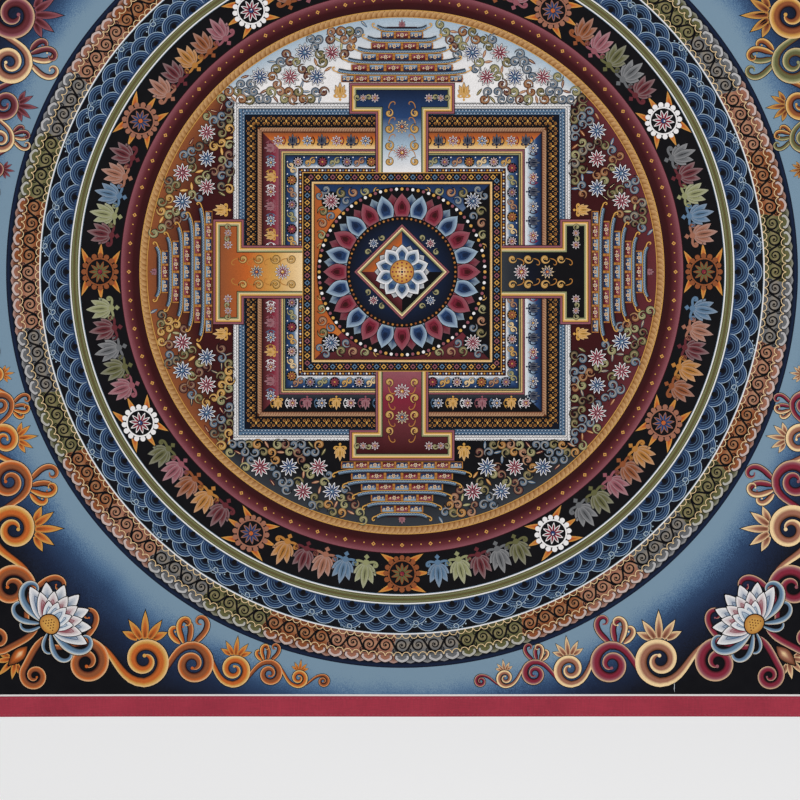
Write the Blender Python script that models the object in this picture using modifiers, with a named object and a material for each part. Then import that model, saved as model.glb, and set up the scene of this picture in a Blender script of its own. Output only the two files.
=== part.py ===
"""A square painted cloth scroll that hangs by its top edge.

It is a primed canvas with four cloth strips sewn round it. Metres, +Z up. The origin is the middle of the
top edge, halfway through the cloth. The painted face looks to -Y.
"""

import math
from collections import namedtuple

import bpy

# Driving sizes
PICTURE_SIDE = 0.750  # the painted square
BARE_MARGIN = 0.0016  # primed cloth left white round the picture
STRIP_WIDTH = 0.018
CANVAS_THICKNESS = 0.0012
STRIP_THICKNESS = 0.0016  # a folded strip is a little thicker than the canvas
SEAM_GAP = 0.0003  # between neighbouring pieces

CANVAS_SIDE = PICTURE_SIDE + 2 * BARE_MARGIN
STRIP_INSIDE = CANVAS_SIDE / 2 + SEAM_GAP  # from the canvas's middle to a strip's inner edge
OVERALL_SIDE = 2 * (STRIP_INSIDE + STRIP_WIDTH)
MITRE_SETBACK = SEAM_GAP / math.sqrt(2)  # taken off each mitred end, along the strip

# How the cloth hangs: flat along its top, then in shallow swells that stand forward of the hanging plane.
# Places are measured across from the middle and down from the top edge.
FLAT_TOP = 0.045  # drop that stays flat
FADE_IN = 0.200  # further drop over which the swells reach their full depth

Swell = namedtuple("Swell", "across drop half_width half_height forward")
SWELLS = (
    Swell(-0.235, 0.500, 0.150, 0.300, 0.0036),
    Swell(0.020, 0.710, 0.130, 0.240, 0.0024),
    Swell(0.255, 0.470, 0.135, 0.280, 0.0030),
)

Curl = namedtuple("Curl", "side reach forward")  # a lower corner that lifts forward
CURLS = (
    Curl(-1, 0.150, 0.0052),
    Curl(1, 0.120, 0.0040),
)

CANVAS_STEPS = 34
STRIP_STEPS_ALONG = 34
STRIP_STEPS_ACROSS = 2

PAINTED_BLUE = (0.060, 0.085, 0.125, 1.0)
CRIMSON = (0.296, 0.041, 0.054, 1.0)


def smooth_step(share):
    share = min(max(share, 0.0), 1.0)
    return share * share * (3 - 2 * share)


def forward_at(across, drop):
    """How far the middle of the cloth stands in front of the hanging plane."""
    forward = 0.0
    for swell in SWELLS:
        away_across = (across - swell.across) / swell.half_width
        away_down = (drop - swell.drop) / swell.half_height
        forward += swell.forward * math.exp(-(away_across**2) - away_down**2)
    for curl in CURLS:
        from_corner = math.hypot(OVERALL_SIDE / 2 - curl.side * across, OVERALL_SIDE - drop)
        forward += curl.forward * smooth_step(1 - from_corner / curl.reach)
    return forward * smooth_step((drop - FLAT_TOP) / FADE_IN)


def cloth_material(name, colour, roughness):
    material = bpy.data.materials.new(name)
    material.use_nodes = True
    shader = material.node_tree.nodes["Principled BSDF"]
    shader.inputs["Base Color"].default_value = colour
    shader.inputs["Roughness"].default_value = roughness
    shader.inputs["Metallic"].default_value = 0.0
    return material


def canvas_place(s, t):
    """Across and drop on the canvas, for s and t from -1 to 1."""
    return s * CANVAS_SIDE / 2, OVERALL_SIDE / 2 - t * CANVAS_SIDE / 2


def strip_place(quarter_turns):
    """The same for a strip, turned from the top one: s runs between its mitres, t from the canvas out."""
    turn = math.radians(90 * quarter_turns)

    def place(s, t):
        out = STRIP_INSIDE + STRIP_WIDTH * (t + 1) / 2
        along = s * (out - MITRE_SETBACK)
        across = along * math.cos(turn) - out * math.sin(turn)
        up = along * math.sin(turn) + out * math.cos(turn)
        return across, OVERALL_SIDE / 2 - up

    return place


def hung_sheet(name, steps, place, thickness, material, collection):
    """A grid laid out by its place function, then hung upright and given its thickness."""
    bpy.ops.mesh.primitive_grid_add(x_subdivisions=steps[0], y_subdivisions=steps[1], size=2)
    sheet = bpy.context.active_object
    sheet.name = name
    sheet.data.name = name
    for vertex in sheet.data.vertices:
        across, drop = place(vertex.co.x, vertex.co.y)
        vertex.co = (across, -drop, forward_at(across, drop))
    sheet.rotation_euler = (math.radians(90), 0, 0)
    sheet.data.materials.append(material)
    sheet.data.shade_smooth()

    solidify = sheet.modifiers.new("Thickness", "SOLIDIFY")
    solidify.thickness = thickness
    solidify.offset = 0

    for holder in list(sheet.users_collection):
        holder.objects.unlink(sheet)
    collection.objects.link(sheet)
    return sheet


def painted_canvas(collection):
    material = cloth_material("painted_canvas", PAINTED_BLUE, 0.8)
    steps = (CANVAS_STEPS, CANVAS_STEPS)
    return hung_sheet("painted_canvas", steps, canvas_place, CANVAS_THICKNESS, material, collection)


def border_strips(collection):
    material = cloth_material("crimson_cloth", CRIMSON, 0.7)
    steps = (STRIP_STEPS_ALONG, STRIP_STEPS_ACROSS)
    for quarter_turns, name in enumerate(("top_strip", "left_strip", "bottom_strip", "right_strip")):
        hung_sheet(name, steps, strip_place(quarter_turns), STRIP_THICKNESS, material, collection)


def main():
    for old in list(bpy.data.objects):
        bpy.data.objects.remove(old)

    scroll = bpy.data.collections.new("painted_scroll")
    bpy.context.scene.collection.children.link(scroll)
    painted_canvas(scroll)
    border_strips(scroll)


main()
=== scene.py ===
"""Looks of the painted cloth scroll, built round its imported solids.

The painting is made the way a brush makes it: flat shapes and strokes laid over each other on the cloth, a
paint layer at a time. Places in the picture are complex numbers, in millimetres from its middle, with up
along +1j. Sizes in the picture are in millimetres too, and sizes of the cloth in metres.
"""

import math
from collections import namedtuple

import bpy
import numpy as np
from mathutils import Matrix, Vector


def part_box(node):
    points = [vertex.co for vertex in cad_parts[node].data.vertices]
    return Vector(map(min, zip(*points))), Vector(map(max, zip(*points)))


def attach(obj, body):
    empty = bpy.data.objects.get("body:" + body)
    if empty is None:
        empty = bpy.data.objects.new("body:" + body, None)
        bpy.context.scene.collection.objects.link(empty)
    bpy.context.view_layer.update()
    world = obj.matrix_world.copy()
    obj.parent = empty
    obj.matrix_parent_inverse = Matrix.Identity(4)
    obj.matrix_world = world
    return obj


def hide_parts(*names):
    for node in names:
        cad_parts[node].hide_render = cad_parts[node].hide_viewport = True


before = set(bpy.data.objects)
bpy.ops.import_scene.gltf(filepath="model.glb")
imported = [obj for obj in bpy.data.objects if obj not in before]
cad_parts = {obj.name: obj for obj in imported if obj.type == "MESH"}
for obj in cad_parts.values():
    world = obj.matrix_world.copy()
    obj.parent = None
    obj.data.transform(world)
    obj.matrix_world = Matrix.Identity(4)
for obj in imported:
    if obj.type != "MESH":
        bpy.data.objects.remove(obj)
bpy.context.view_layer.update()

MM = 0.001  # one millimetre, in metres
TURN = 2 * math.pi

# ---- the cloth, from the solids
CANVAS_LOW, CANVAS_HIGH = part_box("painted_canvas")
CANVAS_SIDE = CANVAS_HIGH[0] - CANVAS_LOW[0]
CANVAS_THICKNESS = 1.2 * MM
STRIP_LOW, STRIP_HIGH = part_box("top_strip")
STRIP_THICKNESS = STRIP_HIGH[1] - STRIP_LOW[1]
MIDDLE_DROP = -(CANVAS_LOW[2] + CANVAS_HIGH[2]) / 2  # from the top edge to the picture's middle
OVERALL_SIDE = 2 * MIDDLE_DROP
BARE_MARGIN = 1.6 * MM
HALF = (CANVAS_SIDE / 2 - BARE_MARGIN) / MM  # half the picture's side, in millimetres

# The shallow swells and curled corners that the solids hang in
FLAT_TOP = 0.045
FADE_IN = 0.200
Swell = namedtuple("Swell", "across drop half_width half_height forward")
SWELLS = (
    Swell(-0.235, 0.500, 0.150, 0.300, 0.0036),
    Swell(0.020, 0.710, 0.130, 0.240, 0.0024),
    Swell(0.255, 0.470, 0.135, 0.280, 0.0030),
)
Curl = namedtuple("Curl", "side reach forward")
CURLS = (
    Curl(-1, 0.150, 0.0052),
    Curl(1, 0.120, 0.0040),
)
# Finer unevenness of stretched, primed cloth: long low ripples that cross each other
Ripple = namedtuple("Ripple", "across_length drop_length phase depth")
RIPPLES = (
    Ripple(0.310, 0.190, 0.7, 0.00022),
    Ripple(-0.140, 0.260, 2.1, 0.00016),
    Ripple(0.095, -0.120, 4.4, 0.00007),
)


def smooth_step(share):
    share = np.clip(share, 0, 1)
    return share * share * (3 - 2 * share)


def forward_at(across, drop):
    """How far the cloth's middle stands in front of the hanging plane, for arrays of places in metres."""
    forward = np.zeros(np.broadcast(across, drop).shape)
    for swell in SWELLS:
        away_across = (across - swell.across) / swell.half_width
        away_down = (drop - swell.drop) / swell.half_height
        forward += swell.forward * np.exp(-(away_across**2) - away_down**2)
    for curl in CURLS:
        from_corner = np.hypot(OVERALL_SIDE / 2 - curl.side * across, OVERALL_SIDE - drop)
        forward += curl.forward * smooth_step(1 - from_corner / curl.reach)
    for ripple in RIPPLES:
        wave = TURN * (across / ripple.across_length + drop / ripple.drop_length) + ripple.phase
        forward += ripple.depth * (1 + np.sin(wave))
    return forward * smooth_step((drop - FLAT_TOP) / FADE_IN)


# ---- meshes and objects
def new_mesh(name, places, faces, looks):
    """A mesh with a material for each of its looks."""
    mesh = bpy.data.meshes.new(name)
    mesh.from_pydata(places, [], faces)
    for look in looks:
        mesh.materials.append(look)
    return mesh


def new_object(name, data):
    thing = bpy.data.objects.new(name, data)
    bpy.context.scene.collection.objects.link(thing)
    return thing


# ---- paints
def linear(code):
    """A six-digit colour code as linear red, green and blue."""
    values = [int(code[i : i + 2], 16) / 255 for i in (0, 2, 4)]
    return tuple(v / 12.92 if v <= 0.04045 else ((v + 0.055) / 1.055) ** 2.4 for v in values)


PAINTS = {
    "ink": "0b0a0d",
    "night": "0c101c",
    "navy": "121d34",
    "blue": "22395f",
    "steel": "506981",
    "mist": "8ea0ae",
    "white": "d2cfce",
    "cream": "d4b88c",
    "gold": "b78a45",
    "ochre": "9d6a32",
    "orange": "a95523",
    "copper": "7c4629",
    "terracotta": "8a5c4a",
    "brown": "552e18",
    "oxblood": "320f11",
    "maroon": "56252a",
    "rose": "7f4a52",
    "crimson": "702030",
    "khaki": "565536",
    "sage": "7f805c",
    "grey": "5c5d5f",
    "slate": "2f3237",
}
COLOUR = {name: np.array(linear(code)) for name, code in PAINTS.items()}


def colour_of(tone):
    """The colour of a tone, which is a paint's name or a colour of its own."""
    return COLOUR[tone] if isinstance(tone, str) else tone


def blend(first, second, share):
    """A colour between two tones."""
    return colour_of(first) + (colour_of(second) - colour_of(first)) * share


def toned(tones, many):
    """The tones, spread evenly over a number of rows."""
    channels = np.array([colour_of(tone) for tone in tones]).T
    places = np.linspace(0, 1, len(tones))
    shares = np.linspace(0, 1, many)
    return np.column_stack([np.interp(shares, places, channel) for channel in channels])


def opaque(colour):
    """A colour with its alpha, or a socket as it is."""
    return colour if isinstance(colour, bpy.types.NodeSocket) else (*colour, 1)


class Nodes:
    """Short ways to add and link shader nodes in one material."""

    def __init__(self, name):
        self.material = bpy.data.materials.new(name)
        self.material.use_nodes = True
        self.tree = self.material.node_tree
        self.shader = self.tree.nodes["Principled BSDF"]
        self.places = self.add("ShaderNodeTexCoord").outputs["Object"]

    def fill(self, node, inputs):
        """Gives each of a node's inputs its value, or links the socket that the value comes from."""
        for key, value in inputs.items():
            if isinstance(value, bpy.types.NodeSocket):
                self.tree.links.new(value, node.inputs[key])
            else:
                node.inputs[key].default_value = value

    def add(self, kind, inputs=None, **settings):
        node = self.tree.nodes.new(kind)
        for key, value in settings.items():
            setattr(node, key, value)
        self.fill(node, inputs or {})
        return node

    def set(self, **values):
        self.fill(self.shader, {key.replace("_", " "): value for key, value in values.items()})

    def maths(self, operation, first, second=0.0, third=0.0):
        return self.add("ShaderNodeMath", {0: first, 1: second, 2: third}, operation=operation).outputs[0]

    def noise(self, scale, detail, vector=None, roughness=0.5):
        inputs = {"Scale": scale, "Detail": detail, "Roughness": roughness}
        inputs["Vector"] = self.places if vector is None else vector
        return self.add("ShaderNodeTexNoise", inputs).outputs["Fac"]

    def stretched_noise(self, scale, stretch):
        """Noise drawn out along the axes where stretch is small."""
        places = self.add("ShaderNodeMapping", {"Vector": self.places, "Scale": stretch}).outputs[0]
        return self.noise(scale, 2, places)

    def between(self, value, low, high, to_low, to_high):
        inputs = {"Value": value, "From Min": low, "From Max": high, "To Min": to_low, "To Max": to_high}
        return self.add("ShaderNodeMapRange", inputs).outputs["Result"]

    def ramp(self, value, stops):
        """Colours between stops, each a place from 0 to 1 and a colour's code."""
        node = self.add("ShaderNodeValToRGB", {"Fac": value})
        elements = node.color_ramp.elements
        while len(elements) < len(stops):
            elements.new(0.5)
        for element, (place, code) in zip(elements, stops):
            element.position = place
            element.color = opaque(linear(code))
        return node.outputs["Color"]

    def mixed(self, share, first, second, blend_type="MIX"):
        inputs = {0: share, 6: opaque(first), 7: opaque(second)}
        return self.add("ShaderNodeMix", inputs, data_type="RGBA", blend_type=blend_type).outputs[2]

    def dimmed(self, colour, strength):
        """The colour times the strength."""
        grey = self.add("ShaderNodeCombineXYZ", {0: strength, 1: strength, 2: strength}).outputs[0]
        return self.mixed(1.0, colour, grey, "MULTIPLY")

    def weave(self, pitch):
        """The height of a plain weave, from 0 to 1: threads that pass over and under each other."""
        parts = self.add("ShaderNodeSeparateXYZ", {"Vector": self.places}).outputs
        turns = TURN / (2 * pitch)
        warp, weft = (self.maths("SINE", self.maths("MULTIPLY", parts[axis], turns)) for axis in "XZ")
        over = self.maths("MULTIPLY", warp, weft)
        threads = self.maths("ADD", self.maths("ABSOLUTE", warp), self.maths("ABSOLUTE", weft))
        return self.maths("MULTIPLY_ADD", over, 0.3, self.maths("MULTIPLY", threads, 0.35))

    def bump(self, height, depth, strength, under=None):
        inputs = {"Height": height, "Distance": depth, "Strength": strength}
        if under is not None:
            inputs["Normal"] = under
        return self.add("ShaderNodeBump", inputs).outputs["Normal"]


CANVAS_PITCH = 0.75 * MM  # from one thread of the canvas to the next
STIPPLE = 1500  # dots of the brush tip to a metre


def painted_surface(nodes):
    """What every paint has in common: matte, a little uneven, with the primed weave just felt through it."""
    patches = nodes.noise(90, 3)
    grain = nodes.noise(STIPPLE, 2)
    dullness = nodes.maths("MULTIPLY_ADD", grain, 0.3, nodes.maths("MULTIPLY", patches, 0.7))
    weave = nodes.bump(nodes.weave(CANVAS_PITCH), depth=0.05 * MM, strength=0.35)
    nodes.set(Roughness=nodes.between(dullness, 0.3, 0.7, 0.62, 0.86), Specular_IOR_Level=0.07)
    nodes.set(Normal=nodes.bump(grain, depth=0.03 * MM, strength=0.5, under=weave))


def flat_paint(name, colour):
    """A paint that is put on in a single even tone."""
    nodes = Nodes(name)
    nodes.set(Base_Color=opaque(colour))
    painted_surface(nodes)
    return nodes.material


def shaded_paint():
    """Paint shaded from tone to tone with the tip of a brush. The tones come with the shapes."""
    nodes = Nodes("paint_shaded")
    tone = nodes.add("ShaderNodeAttribute", attribute_name="Tone").outputs["Color"]
    dots = nodes.between(nodes.noise(STIPPLE, 3, roughness=0.7), 0.35, 0.65, 0.86, 1.12)
    clouds = nodes.between(nodes.noise(45, 3), 0.3, 0.7, 0.95, 1.05)
    nodes.set(Base_Color=nodes.dimmed(tone, nodes.maths("MULTIPLY", dots, clouds)))
    painted_surface(nodes)
    return nodes.material


SHADED = "shaded"
materials = {name: flat_paint("paint_" + name, colour) for name, colour in COLOUR.items()}
materials[SHADED] = shaded_paint()


# ---- brush work
LAYER = 0.08 * MM  # how much higher each paint layer lies than the one under it
THINNEST_LINE = 0.06
LOZENGE = np.array([1, 1j, -1, -1j])


def grid_faces(grid):
    """Four-cornered faces between the neighbours of a grid of points."""
    return np.stack([grid[:-1, :-1], grid[:-1, 1:], grid[1:, 1:], grid[1:, :-1]], -1).reshape(-1, 4)


class Layers:
    """Gathers the shapes of one painted piece, and makes its mesh."""

    def __init__(self, name):
        self.name = name
        self.points = []
        self.heights = []
        self.tones = []
        self.faces = []  # each shape's layer, paint and faces
        self.count = 0

    def add(self, points, faces, paint, layer, groups):
        """Adds a shape in one paint, or in a tone for each group of so many points."""
        if isinstance(paint, str):
            tones = np.broadcast_to(COLOUR[paint], (len(points), 3))
        else:
            tones = np.repeat([colour_of(tone) for tone in paint[: len(groups)]], groups, axis=0)
            paint = SHADED
        self.faces.append((layer, paint, faces + self.count))
        self.points.append(points)
        self.heights.append(np.full(len(points), float(layer)))
        self.tones.append(tones)
        self.count += len(points)

    def mesh(self):
        """The piece's mesh on the cloth, its faces turned to the front and in the order of their layers."""
        points = np.concatenate(self.points)
        tones = np.concatenate(self.tones)
        across = points.real * MM
        drop = MIDDLE_DROP - points.imag * MM
        forward = forward_at(across, drop) + CANVAS_THICKNESS / 2 + np.concatenate(self.heights) * LAYER
        places = np.column_stack([across, -forward, -drop])

        paints = sorted({paint for _, paint, _ in self.faces})
        corners = []
        slots = []
        for _, paint, faces in sorted(self.faces, key=lambda entry: entry[0]):
            ring = points[faces]
            following = np.roll(ring, -1, axis=1)
            area = (ring.real * following.imag - ring.imag * following.real).sum(1)
            corners += np.where(area[:, None] < 0, faces[:, ::-1], faces).tolist()
            slots += [paints.index(paint)] * len(faces)

        mesh = new_mesh(self.name, places, corners, [materials[paint] for paint in paints])
        mesh.polygons.foreach_set("material_index", slots)
        tone = mesh.color_attributes.new("Tone", "FLOAT_COLOR", "POINT")
        tone.data.foreach_set("color", np.column_stack([tones, np.ones(len(tones))]).ravel())
        flat = places[:, [0, 2]]
        flat_map = (flat - flat.min(0)) / np.ptp(flat, axis=0)
        index = np.empty(len(mesh.loops), int)
        mesh.loops.foreach_get("vertex_index", index)
        mesh.uv_layers.new(name="OFBake").data.foreach_set("uv", flat_map[index].ravel())
        mesh.shade_smooth()
        return mesh


class Pen:
    """Draws on a piece, from a place of its own: local points go through place() into the picture.

    Each way of drawing takes a paint's name, or a sequence of tones to shade between.
    """

    def __init__(self, layers, place=None):
        self.layers = layers
        self.place = place or (lambda points: points)

    def through(self, place):
        return Pen(self.layers, lambda points: self.place(place(points)))

    def moved(self, to=0, turn=0.0):
        return self.through(lambda points: to + points * np.exp(1j * turn))

    def mirrored(self):
        return self.through(lambda points: -np.conj(points))

    def both(self):
        return self, self.mirrored()

    def on_ring(self, radius, angle):
        """Local x runs clockwise along the ring and local y outwards from it."""

        def place(points):
            return (radius + points.imag) * np.exp(1j * (angle - points.real / radius))

        return self.through(place)

    def on_side(self, side, out=0.0):
        """Local x runs along a side of the court, clockwise, and local y outwards from out."""
        return self.through(lambda points: (points + 1j * out) * (-1j) ** side)

    def loft(self, rows, paint, layer, closed=False):
        """Fills between rows of points, with a tone for each row."""
        rows = np.asarray(rows, complex)
        if closed:
            rows = np.concatenate([rows, rows[:, :1]], 1)
        many, wide = rows.shape
        faces = grid_faces(np.arange(many * wide).reshape(many, wide))
        self.layers.add(self.place(rows).ravel(), faces, paint, layer, [wide] * many)

    def blob(self, outline, paint, layer, middle=None, steps=(0.5, 1.0)):
        """Fills an outline seen whole from its middle. Tones run from the middle out, one more than steps."""
        outline = np.asarray(outline, complex)
        middle = outline.mean() if middle is None else middle
        rows = [middle + (outline - middle) * step for step in steps]
        wide = len(outline)
        ring = 1 + np.arange(wide)
        fan = np.column_stack([np.zeros(wide, int), ring, np.roll(ring, -1)])
        points = np.concatenate([[middle], rows[0]])
        self.layers.add(self.place(points), fan, paint, layer, (1, wide))
        if len(rows) > 1:
            self.loft(rows, paint if isinstance(paint, str) else paint[1:], layer, closed=True)

    def patch(self, outline, paint, layer, middle=None):
        """Fills a small outline without points between its middle and its edge."""
        self.blob(outline, paint, layer, middle, steps=(1.0,))

    def stroke(self, line, width, paint, layer, taper=(0.0, 0.0)):
        """A brush line, with tones across it. taper is the share of its length over which each end grows."""
        line = np.asarray(line, complex)
        along = np.linspace(0, 1, len(line))
        swell = np.ones(len(line))
        for share, from_end in zip(taper, (along, 1 - along)):
            if share:
                swell = np.minimum(swell, from_end / share)
        way = np.gradient(line)
        side = 1j * way / np.maximum(np.abs(way), 1e-9)
        half = np.maximum(width * np.sqrt(swell), THINNEST_LINE) / 2
        across = np.linspace(-1, 1, 2 if isinstance(paint, str) else len(paint))
        self.loft([line + side * half * share for share in across], paint, layer)

    def dot(self, centre, radius, paint, layer, corners=8):
        self.patch(centre + radius * round_points(corners), paint, layer, centre)


def round_points(corners):
    return np.exp(1j * (TURN * np.arange(corners) / corners))


def arch(radius, corners, low=0.0):
    """Half a circle from right to left over 0, or more than half where low is below 0."""
    return radius * np.exp(1j * np.linspace(low, TURN / 2 - low, corners))


def line_between(start, end, corners):
    return start + (end - start) * np.linspace(0, 1, corners)


def spiral(radius, turns, corners, inside=0.12, start=0.0):
    """A scroll line that starts on the outside and winds in round 0."""
    along = np.linspace(0, 1, corners)
    return radius * (1 - (1 - inside) * along**0.85) * np.exp(1j * (start + TURN * turns * along))


def vine(start, heading, length, bend, wind, corners):
    """A line that sets off from a place and winds in more and more, like a tendril."""
    along = np.linspace(0, 1, corners - 1)
    steps = np.exp(1j * (heading + bend * along + wind * along**3))
    return start + np.concatenate([[0], np.cumsum(steps)]) * length / (corners - 1)


def bow(start, leaving, end, arriving):
    """A smooth line between two places, with a direction at each."""
    share = np.linspace(0, 1, 12)
    rest = 1 - share
    reach = abs(end - start) * 0.42
    first, second = start + leaving * reach, end - arriving * reach
    return rest**3 * start + 3 * rest**2 * share * first + 3 * rest * share**2 * second + share**3 * end


def winding_in(start, leaving, centre, radius, way, wind, corners):
    """A line that leaves a place and winds in round a centre, to the left (1) or to the right (-1)."""
    root = centre - wind * 1j * way * radius
    inwards = spiral(radius, 1.5, corners, 0.2)
    if wind < 0:
        inwards = np.conj(inwards)
    curl = centre - wind * 1j * way * inwards
    return np.concatenate([bow(start, leaving, root, way)[:-1], curl])


def petal_outline(width, height, corners, point, waist):
    """A petal that stands on 0 and points up: narrow at its foot, round, then drawn to a tip."""
    up = 1 - (1 - np.linspace(0, 1, corners)) ** 1.5
    half = width / 2 * (waist + (1 - waist) * np.sin(np.minimum(up / 0.5, 1) * TURN / 4))
    side = half * (1 - up**3.2) ** point + 1j * height * up
    return np.concatenate([side, -np.conj(side[-2::-1])])


def ribbon(pen, line, width, colours, layer, taper):
    """A flowing band of cloud or leaf: an ink edge, and tones up to the lit side, outside its curl."""
    deep, body, lit = colours
    tones = [deep, body, body, lit, blend(lit, "cream", 0.7)]
    steps = np.diff(line)
    if np.angle(steps[1:] / steps[:-1]).sum() > 0:
        tones.reverse()
    pen.stroke(line, width + 1.3, "ink", layer, taper)
    pen.stroke(line, width, tones, layer + 0.3, taper)
    pen.dot(line[-1], width * 0.17, lit, layer + 0.6, 9)


def blossom(pen, size, petals, edge, inside, heart, layer):
    """A round flower of pointed petals, as wide as 2 * size."""
    wide = 3.1 * size / petals
    shapes = ((0, 1.4, 1.0, "ink"), (0.04j, 1.0, 0.9, edge), (0.14j, 0.62, 0.66, inside))
    for i in range(petals):
        leaf = pen.moved(turn=TURN * i / petals)
        for number, (foot, broad, tall, paint) in enumerate(shapes):
            outline = petal_outline(wide * broad, size * tall, 6, 0.9, 0.3)
            leaf.patch(foot * size + outline, paint, layer + number)
    pen.dot(0, size * 0.25, "ink", layer + 2, 10)
    pen.dot(0, size * 0.19, heart, layer + 3, 10)
    pen.dot(size * (0.05 + 0.06j), size * 0.07, edge, layer + 4, 6)


def scroll_leaf(pen, size, paint, layer):
    """A comma-shaped leaf that winds into a curl, outlined in ink with a light line along its back."""
    line = spiral(size * 1.25, 1.15, 18, 0.2)
    tones = (blend(paint, "ink", 0.35), blend(paint, "cream", 0.35))
    pen.stroke(line, size * 0.90, "ink", layer, (0.7, 0.0))
    pen.stroke(line[1:], size * 0.66, tones, layer + 1, (0.7, 0.0))
    pen.dot(0, size * 0.30, "ink", layer + 1.5, 9)
    pen.dot(0, size * 0.20, paint, layer + 2, 8)


def palmette(pen, paint, tall):
    """A lotus palmette: a fan of petals on two curling leaves, with a seed at its foot."""
    tones = (blend(paint, "ink", 0.45), paint, blend(paint, "white", 0.16))
    fan = ((0.8, 0.48), (-0.8, 0.48), (0.42, 0.66), (-0.42, 0.66), (0.0, 0.78))
    for number, (lean, size) in enumerate(fan):
        petal = pen.moved(0.2j * tall, lean)
        outline = petal_outline(tall * 0.27, tall * size, 7, 1.0, 0.4)
        petal.patch(outline * 1.07, "ink", 2 + 0.4 * number)
        petal.blob(outline, tones, 2.2 + 0.4 * number, 0.3j * tall * size)
    pen.stroke(line_between(0.36j * tall, 0.78j * tall, 4), 0.55, "ink", 4.2, (0.4, 0.4))
    for half in pen.both():
        leaf = vine(0.16j * tall, -0.25, tall * 0.6, -0.3, 6.2, 18)
        half.stroke(leaf, tall * 0.08, paint, 2.1, (0.1, 0.0))
    pen.dot(0.14j * tall, tall * 0.10, paint, 4.4, 8)
    pen.patch(-0.04j * tall + 0.09 * tall * LOZENGE, paint, 2)


# ---- plan of the picture, in millimetres
class Band(namedtuple("Band", "inner outer tones", defaults=((),))):
    """A round or square band about the middle, with its edges' distances from it and its tones outwards."""

    middle = property(lambda band: (band.inner + band.outer) / 2)
    width = property(lambda band: band.outer - band.inner)


RIM = Band(347.5, 351.5, ("night", "navy", "night"))
PETALS = Band(340.5, 347.5)
SCROLLWORK = Band(322.0, 341.0)
WAVES = Band(295.5, 320.5, ("ink", "night", "ink"))
OLIVE = Band(287.5, 294.0, ("khaki", "khaki"))
BLACK = Band(250.0, 286.0, ("ink", "ink"))
MAROON = Band(233.0, 250.0, (blend("oxblood", "ink", 0.3), "oxblood", "maroon", "rose"))
ROPE = Band(226.0, 233.0, ("brown", "brown"))
FINE_LINE = 1.0
ROUND_STEPS = 288
LONGEST_STEP = 7.0  # so that no flat stretch cuts into the cloth's swells

hand = np.random.default_rng(11)  # a painter's small unevenness


def uneven(size):
    return hand.normal(0, size)


def steps_over(length):
    return max(2, math.ceil(abs(length) / LONGEST_STEP) + 1)


def rounds(pen, radii, paint, layer, corners=ROUND_STEPS):
    """Fills between circles round the middle."""
    circle = round_points(corners)
    pen.loft([radius * circle for radius in radii], paint, layer, closed=True)


def round_band(pen, band):
    """A band right round the middle, shaded from its inner to its outer edge."""
    many = max(len(band.tones), steps_over(band.width))
    rounds(pen, np.linspace(band.inner, band.outer, many), toned(band.tones, many), 1)


def round_line(pen, inner, paint, layer, width=FINE_LINE):
    rounds(pen, (inner, inner + width), paint, layer)


def round_stations(many, start=TURN / 4):
    """The angles of things that stand evenly on a ring."""
    return start + TURN * np.arange(many) / many


# ---- the rings, from the outside in
RING_COLOURS = ("copper", "terracotta", "grey", "khaki")
SCROLL_COUNT = 144
SCROLLS_ALIKE = 4  # scrolls that stand together on one colour
SCROLL_RADIUS = 6.3


def ring_scroll(pen, pitch, wind):
    """One turn of a running scroll: the stem from the one before, its curl, and tendrils in the gaps."""
    start = complex(-pitch, wind * SCROLL_RADIUS)
    pen.stroke(winding_in(start, 1, 0, SCROLL_RADIUS, 1, wind, 32), 1.7, "ink", 5, (0.0, 0.75))
    pen.dot(0, 1.1, "ink", 5, 7)
    tendril = vine(0, -0.2, 13.5, 0.0, 5.6, 20)
    line = (tendril if wind > 0 else np.conj(tendril)) - 1j * wind * SCROLL_RADIUS
    for half in pen.both():
        half.stroke(line, 1.1, "ink", 5, (0.1, 0.5))
        half.dot(line[-1], 0.6, "ink", 5.5, 6)


def ring_petal(pen, colour, wide, tall):
    """A small lotus petal, pale round a dark heart."""
    pale = blend(colour, "white", 0.45)
    outline = petal_outline(wide, tall, 9, 0.9, 0.85)
    middle = 0.3j * tall
    pen.patch(outline, "ink", 4, middle)
    pen.blob(middle + (outline - middle) * 0.90, (colour, pale, pale), 4.5, 0.1j * tall)
    pen.blob(outline * 0.62, (blend(colour, "ink", 0.5), colour, colour), 5, 0.1j * tall)


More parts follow.
